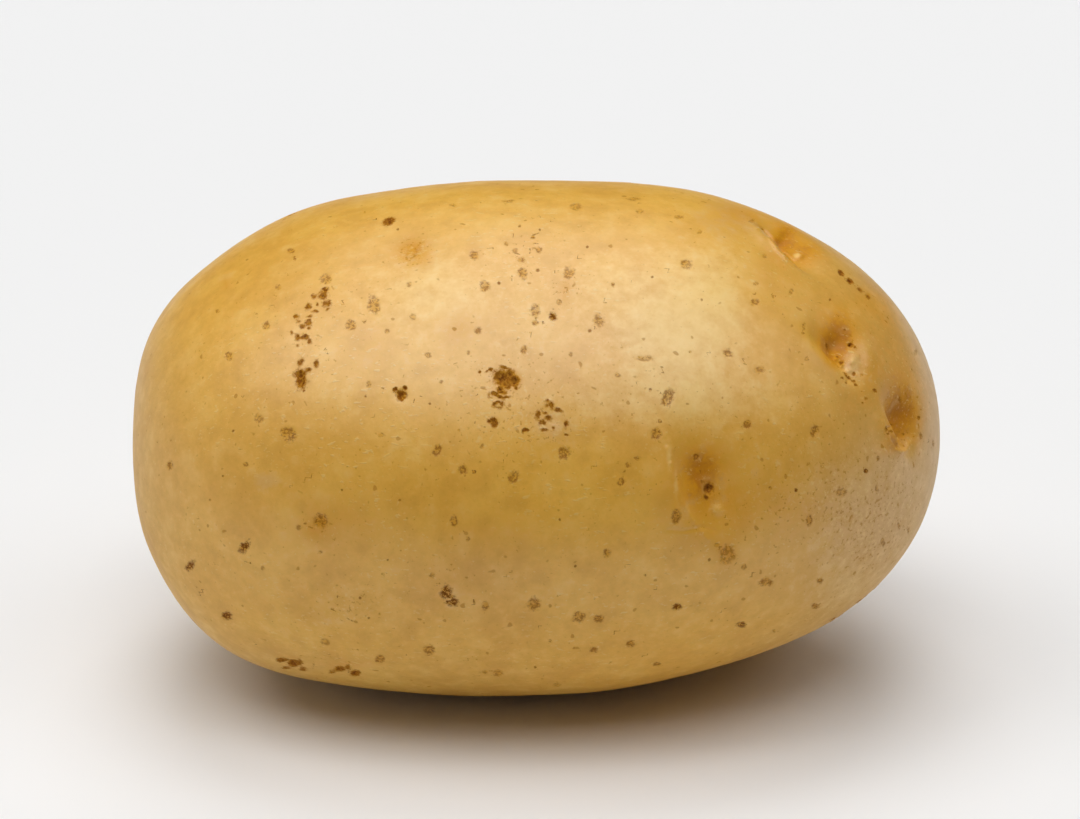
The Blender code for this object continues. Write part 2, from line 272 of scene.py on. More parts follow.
# Patches of fine brown specks, with their strength.
SPECKLED_PATCHES = (
    (412, 252, 34, 28, 0.9), (527, 246, 48, 40, 0.5), (504, 395, 70, 80, 0.55), (550, 418, 60, 50, 0.5),
    (308, 330, 60, 100, 0.35), (347, 608, 60, 40, 0.6), (868, 525, 110, 120, 0.8), (905, 430, 60, 160, 0.5),
    (565, 292, 30, 40, 0.4), (450, 575, 90, 60, 0.25), (850, 360, 40, 60, 0.4), (500, 660, 120, 30, 0.3),
    (870, 290, 60, 40, 0.4), (320, 525, 50, 30, 0.4), (300, 660, 60, 24, 0.5), (640, 400, 120, 60, 0.3),
    (480, 440, 140, 60, 0.3), (770, 510, 120, 90, 0.25),
)
# Low domes and dents of the eyes and scabs in view: as a spot, and then the height in mm.
DOMES = (
    (834, 348, 20, 27, -10, -0.50), (851, 361, 15, 22, 0.40), (848, 352, 5, 5, 0.14),
    (855, 357, 6, 5, 0.14), (850, 363, 6, 6, 0.16), (857, 367, 5, 6, 0.14), (848, 371, 6, 5, 0.14),
    (855, 376, 5, 4, 0.12), (850.6, 345, 4, 4, -0.35), (836, 359, 5, 4, 0.18), (841, 366, 4, 4, 0.15),
    (868, 356, 20, 46, 0.22), (848, 380, 12, 8, -15, -0.15), (895, 418, 18, 32, -15, -0.40),
    (898, 439, 14, 17, -0.32), (889, 427.5, 7, 7, 0.14), (889, 427.5, 3.5, 3.5, -0.28),
    (781, 242, 14, 20, -40, -0.35), (799, 257, 9, 7, 0.32), (800.5, 254, 3, 3, -0.2),
    (709, 489, 12, 14, -0.3), (717, 510, 14, 13, 0.22), (714, 507, 5, 5, 0.1), (505, 378, 24, 20, -0.2),
    (515, 381, 7, 7, -0.2), (551, 417, 34, 30, -0.1), (727, 555, 20, 24, -20, -0.12),
    (290, 663, 26, 10, -0.3), (446, 594, 13, 18, -10, -0.14), (401, 395, 13, 13, -0.14),
    (301, 379, 11, 19, -0.14), (412, 252, 30, 26, -0.12), (700, 478, 40, 46, -0.2),
    (815, 431, 9, 12, -0.12),
)
# Edges and seams of the eyes in view: half width and height in mm, then their pixels. Where a seam is cut
# finer, each of its pixels counts as a mark of this size.
SEAM_MARK = 6
SEAMS = (
    (0.80, 0.03, ((821, 356), (829, 364), (838, 373), (850, 388))),
    (0.28, 0.22, ((883, 422), (886, 432), (890, 441), (895, 449), (900, 452), (906, 450), (909, 444))),
    (0.34, -0.26, ((887, 428), (891, 438), (896, 446), (901, 448), (905, 446))),
    (0.35, 0.20, ((757, 229), (765, 234), (771, 241), (777, 250), (786, 259), (794, 265))),
    (0.25, -0.30, ((756, 225), (764, 229), (768, 233), (772, 238), (776, 244), (783, 251), (793, 260))),
    (0.28, 0.17, ((667, 448), (671, 462), (673, 473), (678, 489), (684, 505), (694, 522), (708, 540))),
    (0.35, -0.10, ((675, 455), (679, 472), (684, 487), (691, 503))),
    (0.22, -0.10, ((668, 530), (684, 531), (702, 527), (716, 531))),
)

# The sides that the photograph doesn't show: how many spots and groups of scabs, how far apart, and the
# seeds of their places and of their looks. The hidden eyes' seeds count up from EYE_SEED.
HIDDEN_SPOTS, HIDDEN_SPOT_GAP, SPOT_SEEDS = 190, 2.6 * MM, (11, 12)
HIDDEN_SCAB_GROUPS, HIDDEN_SCAB_GAP, SCAB_SEEDS = 6, 22 * MM, (13, 14)
EYE_SEED = 21
# Skin that faces the camera by more than this counts as in view.
IN_VIEW = 0.04
# The kinds of spots there: the share of spots up to this kind, least and greatest width in mm, darkness
# and how clear the ring is.
HIDDEN_KINDS = (
    (0.34, 1.0, 1.7, 0.62, 1.0),
    (0.48, 0.8, 1.5, 1.0, 0.3),
    (0.78, 0.6, 1.0, 0.42, 0.6),
    (1.00, 0.35, 0.55, 0.8, 0.0),
)
# How far a patch of colour spreads past its outline.
PATCH_SPREAD = 1.21


def length(vectors):
    return np.sqrt((vectors**2).sum(axis=-1))


def bell(distance, reach):
    return np.exp(-((distance / reach) ** 2))


def smooth(values, start, end):
    """0 before the start, 1 past the end and an easy slope between."""
    share = np.clip((values - start) / (end - start), 0.0, 1.0)
    return share * share * (3.0 - 2.0 * share)


def heading(along_share, around):
    side = math.sqrt(max(0.0, 1.0 - along_share**2))
    turn = math.radians(around)
    return np.array([[along_share, -side * math.sin(turn), side * math.cos(turn)]])


def body_points(directions):
    """Where lines from the middle leave the plain oval body."""
    stem = 0.5 - 0.5 * directions[:, 0]
    low = 0.5 - 0.5 * directions[:, 2]
    bud_end = BUD_TOP_BLUNTNESS + (BUD_LOW_BLUNTNESS - BUD_TOP_BLUNTNESS) * low
    stem_end = STEM_TOP_BLUNTNESS + (STEM_LOW_BLUNTNESS - STEM_TOP_BLUNTNESS) * low
    power = bud_end + (stem_end - bud_end) * stem
    across = np.hypot(directions[:, 1] / HALF_WIDTH, directions[:, 2] / HALF_HEIGHT)
    along = np.abs(directions[:, 0] / HALF_LENGTH)
    radius = (along**power + across**power) ** (-1.0 / power)
    return directions * radius[:, None]


def body_normals(points):
    power = NORMAL_BLUNTNESS
    across = np.hypot(points[:, 1] / HALF_WIDTH, points[:, 2] / HALF_HEIGHT)
    pull = np.maximum(across, 1e-6) ** (power - 2.0)
    ends = np.sign(points[:, 0]) * np.abs(points[:, 0] / HALF_LENGTH) ** (power - 1.0) / HALF_LENGTH
    sides = points[:, 1:] / np.array([HALF_WIDTH**2, HALF_HEIGHT**2])
    normals = np.column_stack([ends, pull[:, None] * sides])
    return normals / length(normals)[:, None]


def place_on_body(along, around):
    low, high = -1.0, 1.0
    for _ in range(40):
        middle = 0.5 * (low + high)
        if body_points(heading(middle, around))[0, 0] < along * MM:
            low = middle
        else:
            high = middle
    return body_points(heading(0.5 * (low + high), around))[0]


def waves(points, wave_length, seed=0.0):
    """Slow, even unevenness from -1 to 1."""
    shift = Vector((seed, 2.0 * seed, -seed))
    return np.array([noise.noise(Vector(point) / wave_length + shift) for point in points])


class Eye:
    """One eye: a pit that is steep under its brow and runs out gently towards the bud end."""

    def __init__(self, along, around, width, depth, brow, turn):
        self.centre = place_on_body(along, around)
        self.normal = body_normals(self.centre[None])[0]
        budward = np.array([1.0, 0.0, 0.0])
        budward = budward - self.normal * budward.dot(self.normal)
        budward /= np.linalg.norm(budward)
        side = np.cross(self.normal, budward)
        lean = math.radians(turn)
        self.forward = budward * math.cos(lean) + side * math.sin(lean)
        self.sideways = np.cross(self.normal, self.forward)
        self.half_width = 0.5 * width * MM
        self.half_length = EYE_LENGTH_SHARE * width * MM
        self.depth = depth * MM
        self.brow = brow * MM

    def spread(self, points):
        """Distances from the eye's middle: forwards, sideways, and whether the point is near at all."""
        offset = points - self.centre
        near = (length(offset) < 3.0 * self.half_width) & (offset @ self.normal > -2.0 * self.half_width)
        return offset @ self.forward, offset @ self.sideways, near

    def brow_line(self, sideways):
        return -0.95 * self.half_length + BROW_BEND / MM * sideways**2

    def heights(self, points):
        forward, sideways, near = self.spread(points)
        reach = self.half_length * np.where(forward < 0.0, STEEP_SIDE, GENTLE_SIDE)
        pit = -self.depth * bell(forward, reach) * bell(sideways, self.half_width)
        past_brow = forward - self.brow_line(sideways)
        brow = self.brow * bell(past_brow, BROW_CREST_WIDTH * MM) * bell(sideways, 1.1 * self.half_width)
        bud = min(BUD_HEIGHT * MM, 0.3 * self.depth) * bell(np.hypot(forward, sideways), BUD_RADIUS * MM)
        return np.where(near, pit + brow + bud, 0.0)


def warped(points):
    """The points, pushed about a little, so that what is drawn over them gets ragged."""
    pushes = [waves(points, 0.55 * MM, seed) for seed in (31.0, 47.0, 59.0)]
    return points + 0.13 * MM * np.stack(pushes, axis=1)


def stem_scar_distance(points):
    tilt, turn = math.radians(SCAR_TILT), math.radians(SCAR_AROUND)
    side = math.sin(tilt)
    direction = np.array([[-math.cos(tilt), -side * math.sin(turn), side * math.cos(turn)]])
    return length(points - body_points(direction))


def tuber(cube_points):
    """Points and outward directions of the whole tuber for points of a cube, before it is set down."""
    eighth = math.pi / 4.0
    lengthwise = cube_points[:, 0] + BUDWARD_CROWDING * (1.0 - cube_points[:, 0] ** 2)
    spread = np.stack([lengthwise, cube_points[:, 1], cube_points[:, 2]], axis=1)
    directions = np.tan(spread * eighth) * np.array([HALF_LENGTH, HALF_WIDTH, HALF_HEIGHT])
    directions /= length(directions)[:, None]
    points = body_points(directions)
    normals = body_normals(points)
    heights = WAVE_HEIGHT * waves(points, WAVE_LENGTH)
    scar = stem_scar_distance(points)
    heights += MM * (STUB_HEIGHT * bell(scar, STUB_RADIUS * MM) - SCAR_DEPTH * bell(scar, SCAR_RADIUS * MM))
    for along, around, reach, height in SWELLS:
        heights += height * MM * bell(length(points - place_on_body(along, around)), reach * MM)
    for eye in EYES:
        heights += Eye(*eye).heights(points)
    return points + normals * heights[:, None], normals


def set_down(points):
    """How far the tuber moves so that the middle of its base box comes to the origin."""
    low, high = points.min(axis=0), points.max(axis=0)
    middle = 0.5 * (low + high)
    return np.array([middle[0], middle[1], low[2] + REST_FLAT_DEPTH])


def deselect_all():
    bpy.ops.object.select_all(action="DESELECT")


def coordinates(mesh):
    values = np.zeros(len(mesh.vertices) * 3)
    mesh.vertices.foreach_get("co", values)
    return values.reshape(-1, 3)


def cut_selected(piece, mask, domain, cuts):
    """Subdivides the chosen edges or faces of a piece."""
    mesh = piece.data
    mesh.vertices.foreach_set("select", np.zeros(len(mesh.vertices), bool))
    mesh.edges.foreach_set("select", mask if domain == "EDGE" else np.zeros(len(mesh.edges), bool))
    mesh.polygons.foreach_set("select", mask if domain == "FACE" else np.zeros(len(mesh.polygons), bool))
    bpy.context.tool_settings.mesh_select_mode = (False, domain == "EDGE", domain == "FACE")
    bpy.ops.object.mode_set(mode="EDIT")
    bpy.ops.mesh.subdivide(number_cuts=cuts, smoothness=0.0)
    bpy.ops.object.mode_set(mode="OBJECT")


def edge_ends(mesh):
    ends = np.zeros(len(mesh.edges) * 2, int)
    mesh.edges.foreach_get("vertices", ends)
    return ends.reshape(-1, 2)


def face_middles(mesh, base):
    """Where on the tuber, once it is set down, the middles of the cube's faces come."""
    values = np.zeros(len(mesh.polygons) * 3)
    mesh.polygons.foreach_get("center", values)
    return tuber(values.reshape(-1, 3))[0] - base


class Photograph:
    """Finds where on the tuber a pixel of the photograph lies."""

    def __init__(self):
        self.tree = None
        rise = math.radians(CAMERA_RISE)
        self.back = Vector((0.0, -math.cos(rise), math.sin(rise)))
        self.right = Vector((1.0, 0.0, 0.0))
        self.up = Vector((0.0, math.sin(rise), math.cos(rise)))
        middle = Vector((0.0, 0.0, 0.5 * cad_high.z))
        self.aim = middle + self.up * AIM_ABOVE_MIDDLE + self.right * AIM_RIGHT
        self.eye = self.aim + self.back * CAMERA_DISTANCE

    def look_at(self, points, mesh):
        """Takes this mesh, with its points at these places, as what the photograph shows."""
        faces = [tuple(face.vertices) for face in mesh.polygons]
        self.tree = BVHTree.FromPolygons([Vector(point) for point in points], faces)

    def hit(self, x, y):
        pixels = LENS / SENSOR * PICTURE_WIDTH
        across = (x - 0.5 * PICTURE_WIDTH) / pixels
        above = (0.5 * PICTURE_HEIGHT - y) / pixels
        ray = self.right * across + self.up * above - self.back
        place, normal, _, _ = self.tree.ray_cast(self.eye, ray.normalized())
        return place, normal

    def nearest_hit(self, x, y):
        """The surface under a pixel, or under the nearest pixel towards the middle that has one."""
        for _ in range(40):
            place, normal = self.hit(x, y)
            if place is not None:
                return place, normal
            x += 0.01 * (POTATO_MIDDLE_X - x)
            y += 0.01 * (POTATO_MIDDLE_Y - y)
        raise ValueError("no surface near that pixel")

    def faces_camera(self, point, normal):
        return normal.dot((self.eye - point).normalized())


class Mark:
    """An oval mark on the skin, with its own level directions."""

    def __init__(self, centre, across, down, strength=1.0, ring=0.0, seed=0.0):
        self.centre = np.array(centre)
        self.axes = np.stack([np.array(across), np.array(down)])
        self.inverse = np.linalg.pinv(self.axes)
        self.size = 0.5 * (np.linalg.norm(across) + np.linalg.norm(down))
        self.strength = strength
        self.ring = ring
        self.seed = seed

    def local(self, points):
        """Places in the mark, where its outline is at distance 1."""
        offset = points - self.centre
        flat = offset @ self.inverse
        left_over = offset - flat @ self.axes
        return flat, np.hypot(length(flat), length(left_over) / (self.size + MM))


def photo_mark(photo, x, y, width, height, lean=0.0, **looks):
    """A mark whose outline in the photograph has this place, size and lean."""
    centre, normal = photo.nearest_hit(x, y)
    turn = math.radians(lean)
    reach = max(3.0, 0.5 * max(width, height))
    axes = []
    for half, (right, down) in (
        (0.5 * width, (math.cos(turn), -math.sin(turn))),
        (0.5 * height, (math.sin(turn), math.cos(turn))),
    ):
        there, _ = photo.hit(x + right * reach, y + down * reach)
        back, _ = photo.hit(x - right * reach, y - down * reach)
        if there is not None and back is not None:
            vector = 0.5 * (there - back)
        elif there is not None:
            vector = there - centre
        elif back is not None:
            vector = centre - back
        else:
            vector = (photo.right * right - photo.up * down) * reach * METRES_PER_PIXEL
        vector -= normal * vector.dot(normal)
        limit = 3.5 * reach * METRES_PER_PIXEL
        if vector.length > limit:
            vector *= limit / vector.length
        axes.append(vector * (half / reach))
    return Mark(centre, axes[0], axes[1], **looks)


def scattered_places(points, normals, photo, count, gap, seed):
    """Seeded places on the side that the photograph doesn't show, at least a gap apart."""
    chance = np.random.default_rng(seed)
    found = []
    for index in chance.permutation(len(points)):
        point, normal = points[index], normals[index]
        if photo.faces_camera(Vector(point), Vector(normal)) > IN_VIEW:
            continue
        if any(np.linalg.norm(point - other) < gap for other, _ in found):
            continue
        found.append((point, normal))
        if len(found) == count:
            break
    return found


def free_mark(point, normal, width, height, turn, **looks):
    """A mark placed without the photograph: sizes in metres and a turn in degrees."""
    level = np.cross(normal, [0.0, 0.0, 1.0])
    if np.linalg.norm(level) < 0.2:
        level = np.cross(normal, [1.0, 0.0, 0.0])
    level /= np.linalg.norm(level)
    rise = np.cross(normal, level)
    cosine, sine = math.cos(math.radians(turn)), math.sin(math.radians(turn))
    across = (level * cosine + rise * sine) * 0.5 * width
    down = (rise * cosine - level * sine) * 0.5 * height
    return Mark(point, across, down, **looks)


def place_seed(x, y):
    return 0.37 * x + 0.73 * y


def spots_in_view(photo):
    """The spots that the photograph shows, each with its darkness and how clear its ring is."""
    marks = []
    for table, darkness, clearest in SPOT_KINDS:
        for x, y, width, height, *lean in table:
            washed_out = y < WASHED_OUT_ABOVE and darkness < 1.0
            strength = darkness * (WASHED_OUT_SHARE if washed_out else 1.0)
            ring = clearest * min(1.0, (width + height) / LARGE_SPOT) ** 2
            looks = dict(strength=strength, ring=ring, seed=place_seed(x, y))
            marks.append(photo_mark(photo, x, y, width, height, *lean, **looks))
    for x, y, width in SPECKS:
        marks.append(photo_mark(photo, x, y, width, width, strength=SPECK_DARKNESS, seed=place_seed(x, y)))
    return marks


def spots_out_of_view(places, seed):
    """Spots of the same kinds and sizes for the other sides."""
    chance = np.random.default_rng(seed)
    marks = []
    for point, normal in places:
        pick = chance.random()
        turn = chance.uniform(0, 180)
        stretch = chance.uniform(1.0, 1.5)
        _, least, most, darkness, ring = next(kind for kind in HIDDEN_KINDS if pick < kind[0])
        size = chance.uniform(least, most)
        looks = dict(strength=darkness, ring=ring, seed=chance.uniform(0, 500))
        marks.append(free_mark(point, normal, size * stretch * MM, size * MM, turn, **looks))
    return marks


def scab_groups_out_of_view(places, seed):
    """Groups of small scabs for the other sides."""
    chance = np.random.default_rng(seed)
    marks = []
    for point, normal in places:
        level = np.cross(normal, [0.3, 0.5, 0.8])
        level /= np.linalg.norm(level)
        rise = np.cross(normal, level)
        for _ in range(chance.integers(7, 15)):
            place = point + level * chance.normal(0, 1.5 * MM) + rise * chance.normal(0, 2.6 * MM)
            width, height = chance.uniform(0.4, 1.2, 2) * MM
            darkness = chance.uniform(0.4, 1.0)
            marks.append(free_mark(place, normal, width, height, chance.uniform(0, 180), strength=darkness))
    return marks


def segment_distance(points, start, end):
    along = end - start
    share = np.clip((points - start) @ along / along.dot(along), 0.0, 1.0)
    return length(points - start - share[:, None] * along)


def seam_height(points, photo, half_width, height, pixels):
    """A thin raised or sunken line that fades out at its ends."""
    line = [np.array(photo.nearest_hit(x, y)[0]) for x, y in pixels]
    rise = np.zeros(len(points))
    near = length(points - sum(line) / len(line)) < 14 * MM
    picked = points[near]
    best = np.full(len(picked), 1.0)
    fade = np.ones(len(picked))
    last = len(line) - 2
    for index in range(len(line) - 1):
        distance = segment_distance(picked, line[index], line[index + 1])
        end_fade = 0.55 if index in (0, last) else 1.0
        closer = distance < best
        fade = np.where(closer, end_fade, fade)
        best = np.where(closer, distance, best)
    rise[near] = height * MM * bell(best, half_width * MM) * fade
    return rise


def busy_faces(middles, marks, reach_beyond, least=0.0):
    """Which faces lie in or close to the marks."""
    busy = np.zeros(len(middles), bool)
    for mark in marks:
        if mark.size >= least:
            busy |= length(middles - mark.centre) < mark.size + reach_beyond
    return busy


def gridded_cube():
    """A cube whose faces are cut into the skin's first grid."""
    deselect_all()
    bpy.ops.mesh.primitive_cube_add(size=2.0, location=(0, 0, 0))
    piece = bpy.context.active_object
    corners, ends = coordinates(piece.data), edge_ends(piece.data)
    lengthwise = np.abs(corners[ends[:, 0], 0] - corners[ends[:, 1], 0]) > 1.0
    cut_selected(piece, lengthwise, "EDGE", CELLS_ALONG - 1)
    corners, ends = coordinates(piece.data), edge_ends(piece.data)
    crosswise = np.abs(corners[ends[:, 0], 0] - corners[ends[:, 1], 0]) < 1e-6
    cut_selected(piece, crosswise, "EDGE", CELLS_ROUND - 1)
    cut_selected(piece, np.ones(len(piece.data.polygons), bool), "FACE", 1)
    return piece


def vector_layer(mesh, name, first, second, third):
    """Keeps three values for each point of the skin, for its material to read."""
    layer = mesh.attributes.new(name, "FLOAT_VECTOR", "POINT")
    layer.data.foreach_set("vector", np.stack([first, second, third], axis=1).astype(np.float32).ravel())


def nearest_spot_layers(mesh, points, marks):
    """For each point: its place in the nearest spot, and that spot's looks."""
    count = len(points)
    gap = np.full(count, 1.0)
    owner = np.full(count, -1)
    place = np.full((count, 2), 4.0)
    for index, mark in enumerate(marks):
        near = np.flatnonzero(length(points - mark.centre) < 4.0 * mark.size + 1.5 * MM)
        flat, distance = mark.local(points[near])
        edge_gap = (distance - 1.0) * mark.size
        closer = edge_gap < gap[near]
        chosen = near[closer]
        gap[chosen] = edge_gap[closer]
        owner[chosen] = index
        place[chosen] = flat[closer]
    ends = edge_ends(mesh)
    mixed = owner[ends[:, 0]] != owner[ends[:, 1]]
    valid = (owner >= 0).astype(float)
    valid[ends[mixed].ravel()] = 0.0
    looks = np.array([(mark.strength, mark.ring, mark.seed) for mark in marks] + [(0.0, 0.0, 0.0)])[owner]
    vector_layer(mesh, "spot_place", place[:, 0], place[:, 1], valid)
    vector_layer(mesh, "spot_looks", looks[:, 0], looks[:, 1], looks[:, 2])


def patch_field(points, marks):
    """Soft-edged patches added over each other, up to 1."""
    total = np.zeros(len(points))
    for mark in marks:
        near = length(points - mark.centre) < 3.2 * mark.size + 2 * MM
        _, distance = mark.local(points[near])
        total[near] = 1.0 - (1.0 - total[near]) * (1.0 - mark.strength * bell(distance, PATCH_SPREAD))
    return total


def scab_field(points, marks):
    """One half on the outline of each scab, more inside it and less outside."""
    field = np.zeros(len(points))
    for mark in marks:
        near = length(points - mark.centre) < 2.2 * mark.size
        _, distance = mark.local(points[near])
        field[near] = np.maximum(field[near], (1.0 - 0.5 * distance) * (0.62 + 0.38 * mark.strength))
    return field


def photo_marks(photo, table):
    """Marks from rows of a place, a size, a lean if there is one, and a strength."""
    marks = []
    for x, y, width, height, *lean, strength in table:
        marks.append(photo_mark(photo, x, y, width, height, *lean, strength=strength))
    return marks


def make_skin(photo):
    """The whole skin, from a cube to its finest relief, with the layers that its material reads."""
    skin = gridded_cube()
    skin.name = "potato_skin"
    skin.data.name = "potato_skin"

    # The spots, scabs and domes, in view and out of view, and where the eyes and seams are.
    rough_points, normals = tuber(coordinates(skin.data))
    base = set_down(rough_points)
    rough_points = rough_points - base
    photo.look_at(rough_points, skin.data)
    spots = spots_in_view(photo)
    places = scattered_places(rough_points, normals, photo, HIDDEN_SPOTS, HIDDEN_SPOT_GAP, SPOT_SEEDS[0])
    spots += spots_out_of_view(places, SPOT_SEEDS[1])
    scabs = photo_marks(photo, SCABS)
    groups = HIDDEN_SCAB_GROUPS, HIDDEN_SCAB_GAP, SCAB_SEEDS[0]
    places = scattered_places(rough_points, normals, photo, *groups)
    scabs += scab_groups_out_of_view(places, SCAB_SEEDS[1])
    domes = photo_marks(photo, DOMES)
    eyes = [Eye(*eye) for eye in EYES]
    eye_marks = []
    for eye in eyes:
        eye.centre = eye.centre - base
        eye_marks.append(Mark(eye.centre, eye.forward * eye.half_width, eye.sideways * eye.half_width))
    seam_marks = []
    for _, _, pixels in SEAMS:
        seam_marks += [photo_mark(photo, x, y, SEAM_MARK, SEAM_MARK) for x, y in pixels]

    # Finer cells where the skin is busy, finest at the scabs, the seams and in the eyes.
    middles = face_middles(skin.data, base)
    busy = busy_faces(middles, spots, 0.5 * MM, 0.45 * MM) | busy_faces(middles, scabs, 1.0 * MM)
    busy |= busy_faces(middles, eye_marks, 1.5 * MM) | busy_faces(middles, seam_marks, 1.6 * MM)
    cut_selected(skin, busy, "FACE", 1)
    middles = face_middles(skin.data, base)
    busiest = busy_faces(middles, scabs, 0.25 * MM) | busy_faces(middles, seam_marks, 0.7 * MM)
    for mark in eye_marks[:DEEP_EYES]:
        busiest |= length(middles - mark.centre) < EYE_HEART
    cut_selected(skin, busiest, "FACE", 1)

    points, normals = tuber(coordinates(skin.data))
    points = points - base
    relief = skin_relief(points, photo, spots, scabs, domes, eyes)
    on_flat = smooth(points[:, 2], 0.0, 0.5 * MM)
    points = points + normals * (relief * on_flat)[:, None]
    points[:, 2] = np.maximum(points[:, 2], 0.0)
    skin.data.vertices.foreach_set("co", points.ravel())
    skin.data.update()

    ragged = warped(points)
    nearest_spot_layers(skin.data, ragged, spots)
    tints = []
    tables = (STAINS_AND_SHADE, PALE_AND_HIGHLIGHT_PATCHES, WORN_PATCHES, SPECKLED_PATCHES)
    for tint, table in zip(eye_tints(points, eyes), tables):
        tints.append(np.maximum(tint, patch_field(points, photo_marks(photo, table))))
    stains_and_shade, pale, worn, speckled = tints
    vector_layer(skin.data, "skin_tints", stains_and_shade, pale, worn)
    vector_layer(skin.data, "skin_marks", scab_field(ragged, scabs), speckled, stem_tint(points + base))

    deselect_all()
    skin.select_set(True)
    bpy.context.view_layer.objects.active = skin
    bpy.ops.object.mode_set(mode="EDIT")
    bpy.ops.mesh.select_all(action="SELECT")
    bpy.ops.mesh.normals_make_consistent(inside=False)
    bpy.ops.object.mode_set(mode="OBJECT")
    bpy.ops.object.shade_smooth()
    return skin


def skin_relief(points, photo, spots, scabs, domes, eyes):
    """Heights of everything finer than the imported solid's own form."""
    relief = 0.05 * MM * waves(points, 6.0 * MM, 3.0) + 0.02 * MM * waves(points, 2.2 * MM, 7.0)
    relief += 0.006 * MM * waves(points, 0.7 * MM, 9.0)
    for mark in spots:
        if mark.size < 0.4 * MM:
            continue
        near = length(points - mark.centre) < 2.0 * mark.size
        _, distance = mark.local(points[near])
        rim = 0.035 * mark.ring * bell(distance - 1.05, 0.28)
        core = -0.06 * (0.5 + mark.strength) * bell(distance, 0.75)
        relief[near] += MM * (rim + core)
    field = scab_field(warped(points), scabs)
    relief += MM * (0.05 * smooth(field, 0.35, 0.5) - 0.11 * smooth(field, 0.5, 0.75))
    for mark in domes:
        near = length(points - mark.centre) < 3.0 * mark.size + MM
        _, distance = mark.local(points[near])
        relief[near] += mark.strength * MM * bell(distance, 0.8)
    for half_width, height, pixels in SEAMS:
        relief += seam_height(points, photo, half_width, height, pixels)
    for index, eye in enumerate(eyes[EYES_IN_VIEW:]):
        relief += eye_relief(points, eye, EYE_SEED + index)
    return relief


def eye_relief(points, eye, seed):
    """The crisp brow, the furrow under it and the bud scales of an eye out of view."""
    chance = np.random.default_rng(seed)
    forward, sideways, near = eye.spread(points)
    size = eye.depth / (2.0 * MM)
    past_brow = forward - eye.brow_line(sideways)
    fade = bell(sideways, 0.8 * eye.half_width) * near
    crest, furrow = bell(past_brow, 0.4 * MM), bell(past_brow - 0.9 * MM, 0.6 * MM)
    relief = size * MM * fade * (0.25 * crest - 0.45 * furrow)
    for _ in range(7):
        place_forward, place_side = chance.normal(0, 0.9 * MM), chance.normal(0, 1.3 * MM)
        radius = chance.uniform(0.35, 0.8) * MM
        distance = np.hypot(forward - place_forward, sideways - place_side)
        relief += size * MM * chance.uniform(0.1, 0.24) * bell(distance, radius) * near
    return relief


def eye_tints(points, eyes):
    """Stain, paleness, wear and specks in and round the eyes out of view."""
    stains_and_shade, pale, worn, speckled = np.zeros((4, len(points)))
    for eye in eyes[EYES_IN_VIEW:]:
        forward, sideways, near = eye.spread(points)
        reach = 0.8 * eye.half_length
        hollow = bell(forward, reach) * bell(sideways, 0.75 * eye.half_width) * near
        stains_and_shade = np.maximum(stains_and_shade, min(1.0, eye.depth / (1.6 * MM)) * hollow)
        pale = np.maximum(pale, 0.6 * bell(np.hypot(forward, sideways), 0.8 * MM) * near)
        speckled = np.maximum(speckled, 0.5 * hollow)
        worn = np.maximum(worn, 0.25 * bell(eye.brow_line(sideways) - forward + MM, MM) * near)
    return stains_and_shade, pale, worn, speckled


def stem_tint(points):
    """How strongly the stem scar colours the skin."""
    return bell(stem_scar_distance(points), 3.4 * MM)


class Value:
    """A socket of a material's nodes, so that sums on it read as ordinary sums."""

    def __init__(self, finish, socket):
        self.finish = finish
        self.socket = socket

    def sum(self, operation, first, second):
        return self.finish.node("ShaderNodeMath", {"operation": operation}, {0: first, 1: second})

    def __add__(self, other):
        return self.sum("ADD", self, other)

    def __radd__(self, other):
        return self.sum("ADD", other, self)

    def __sub__(self, other):
        return self.sum("SUBTRACT", self, other)

    def __rsub__(self, other):
        return self.sum("SUBTRACT", other, self)

    def __mul__(self, other):
        return self.sum("MULTIPLY", self, other)

    def __rmul__(self, other):
        return self.sum("MULTIPLY", other, self)

    def __truediv__(self, other):
        return self.sum("DIVIDE", self, other)

    def __pow__(self, other):
        return self.sum("POWER", self, other)


